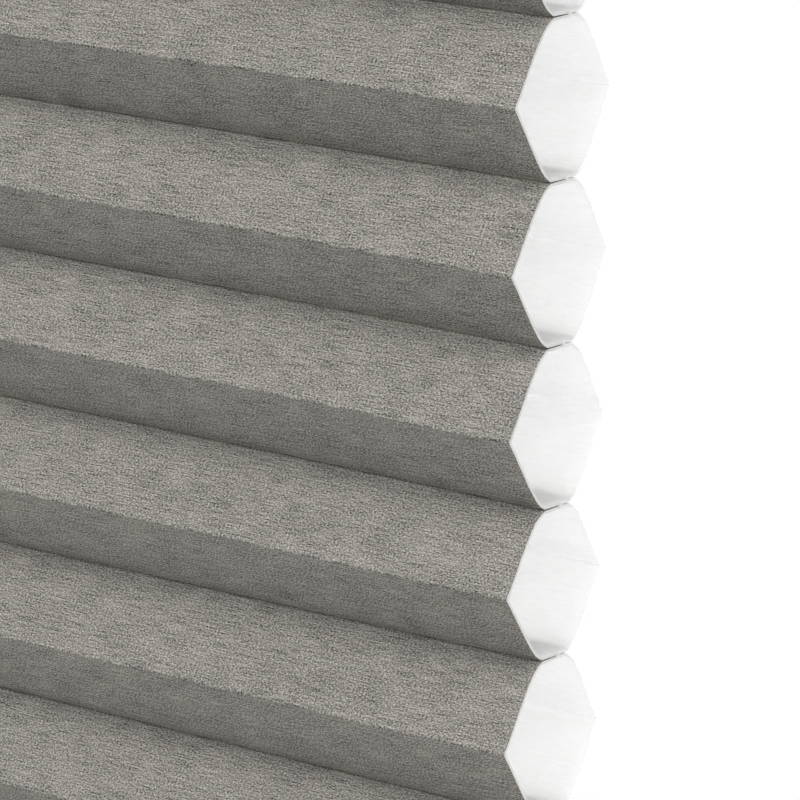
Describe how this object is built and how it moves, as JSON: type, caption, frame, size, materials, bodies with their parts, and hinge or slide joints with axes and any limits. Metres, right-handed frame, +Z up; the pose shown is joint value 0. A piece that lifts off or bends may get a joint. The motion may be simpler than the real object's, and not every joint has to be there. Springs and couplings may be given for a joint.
{
  "type": "pleated blind",
  "caption": "Cordless pleated blind of honeycomb cells, grey in front and white behind, hung from a ceiling-mounted head rail with a spring lift and a weighted bottom rail.",
  "frame": {"origin": "on the ceiling plane, at the centre of the four bracket screw holes", "axes": "+Z up, +X along the rails to the right seen from the room, -Y towards the room"},
  "size_m": [0.447, 0.041, 0.5226],
  "materials": {
    "grey_fabric": "matt crepe nonwoven, grey outside and white inside",
    "white_fabric": "matt white nonwoven",
    "coated_aluminium": "white satin powder coat",
    "white_plastic": "moulded white plastic",
    "grey_plastic": "moulded grey plastic",
    "gear_plastic": "natural acetal",
    "strip_plastic": "extruded strip",
    "zinc_steel": "zinc-plated steel",
    "spring_steel": "bare spring steel",
    "cord_braid": "white braided cord"
  },
  "bodies": {
    "head": {"head_rail": "coated_aluminium", "end_cap_left": "white_plastic", "end_cap_right": "white_plastic", "bracket_left": "zinc_steel", "bracket_right": "zinc_steel", "motor_base": "grey_plastic", "motor_cover": "grey_plastic", "spring_strip": "spring_steel", "cord_guide_left": "grey_plastic", "cord_guide_right": "grey_plastic", "pulley_pin_left": "zinc_steel", "pulley_pin_right": "zinc_steel", "top_strip": "strip_plastic", "front_fabric": "grey_fabric", "back_fabric": "white_fabric", "lift_cord_left": "cord_braid", "lift_cord_right": "cord_braid"},
    "foot": {"bottom_rail": "coated_aluminium", "bottom_cap_left": "white_plastic", "bottom_cap_right": "white_plastic", "bottom_strip": "strip_plastic", "bottom_weight": "zinc_steel", "cord_stop_left": "gear_plastic", "cord_stop_right": "gear_plastic", "pull_handle": "white_plastic"},
    "left_spool": {"cord_spool_left": "gear_plastic"},
    "drive": {"drive_drum": "gear_plastic"},
    "idler": {"idler_gear": "gear_plastic"},
    "storage": {"storage_drum": "gear_plastic"},
    "right_spool": {"cord_spool_right": "gear_plastic"},
    "left_pulley": {"pulley_left": "gear_plastic"},
    "right_pulley": {"pulley_right": "gear_plastic"}
  },
  "joints": [
    {"name": "bottom_rail_lift", "type": "slide", "parent": "head", "child": "foot", "axis": [0, 0, 1], "range_m": [0, 0.4224], "deforming": ["front_fabric", "back_fabric", "lift_cord_left", "lift_cord_right"]},
    {"name": "left_spool_turn", "type": "hinge", "parent": "head", "child": "left_spool", "pos_m": [-0.036, 0, -0.0125], "axis": [0, 0, 1], "continuous": true},
    {"name": "drive_turn", "type": "hinge", "parent": "head", "child": "drive", "pos_m": [-0.012, 0, -0.0125], "axis": [0, 0, 1], "continuous": true},
    {"name": "idler_turn", "type": "hinge", "parent": "head", "child": "idler", "pos_m": [0.012, 0, -0.0125], "axis": [0, 0, 1], "continuous": true},
    {"name": "storage_turn", "type": "hinge", "parent": "head", "child": "storage", "pos_m": [0.012, 0, -0.0125], "axis": [0, 0, 1], "continuous": true},
    {"name": "right_spool_turn", "type": "hinge", "parent": "head", "child": "right_spool", "pos_m": [0.036, 0, -0.0125], "axis": [0, 0, 1], "continuous": true},
    {"name": "left_pulley_turn", "type": "hinge", "parent": "head", "child": "left_pulley", "pos_m": [-0.1309, 0, -0.0125], "axis": [0, 1, 0], "continuous": true},
    {"name": "right_pulley_turn", "type": "hinge", "parent": "head", "child": "right_pulley", "pos_m": [0.1309, 0, -0.0125], "axis": [0, 1, 0], "continuous": true}
  ],
  "couplings": [
    {"joint": "left_spool_turn", "follows": "bottom_rail_lift", "rad_per_m": -104.17},
    {"joint": "drive_turn", "follows": "bottom_rail_lift", "rad_per_m": 104.17},
    {"joint": "idler_turn", "follows": "bottom_rail_lift", "rad_per_m": -104.17},
    {"joint": "storage_turn", "follows": "bottom_rail_lift", "rad_per_m": -104.17},
    {"joint": "right_spool_turn", "follows": "bottom_rail_lift", "rad_per_m": 104.17},
    {"joint": "left_pulley_turn", "follows": "bottom_rail_lift", "rad_per_m": 243.9},
    {"joint": "right_pulley_turn", "follows": "bottom_rail_lift", "rad_per_m": -243.9}
  ]
}
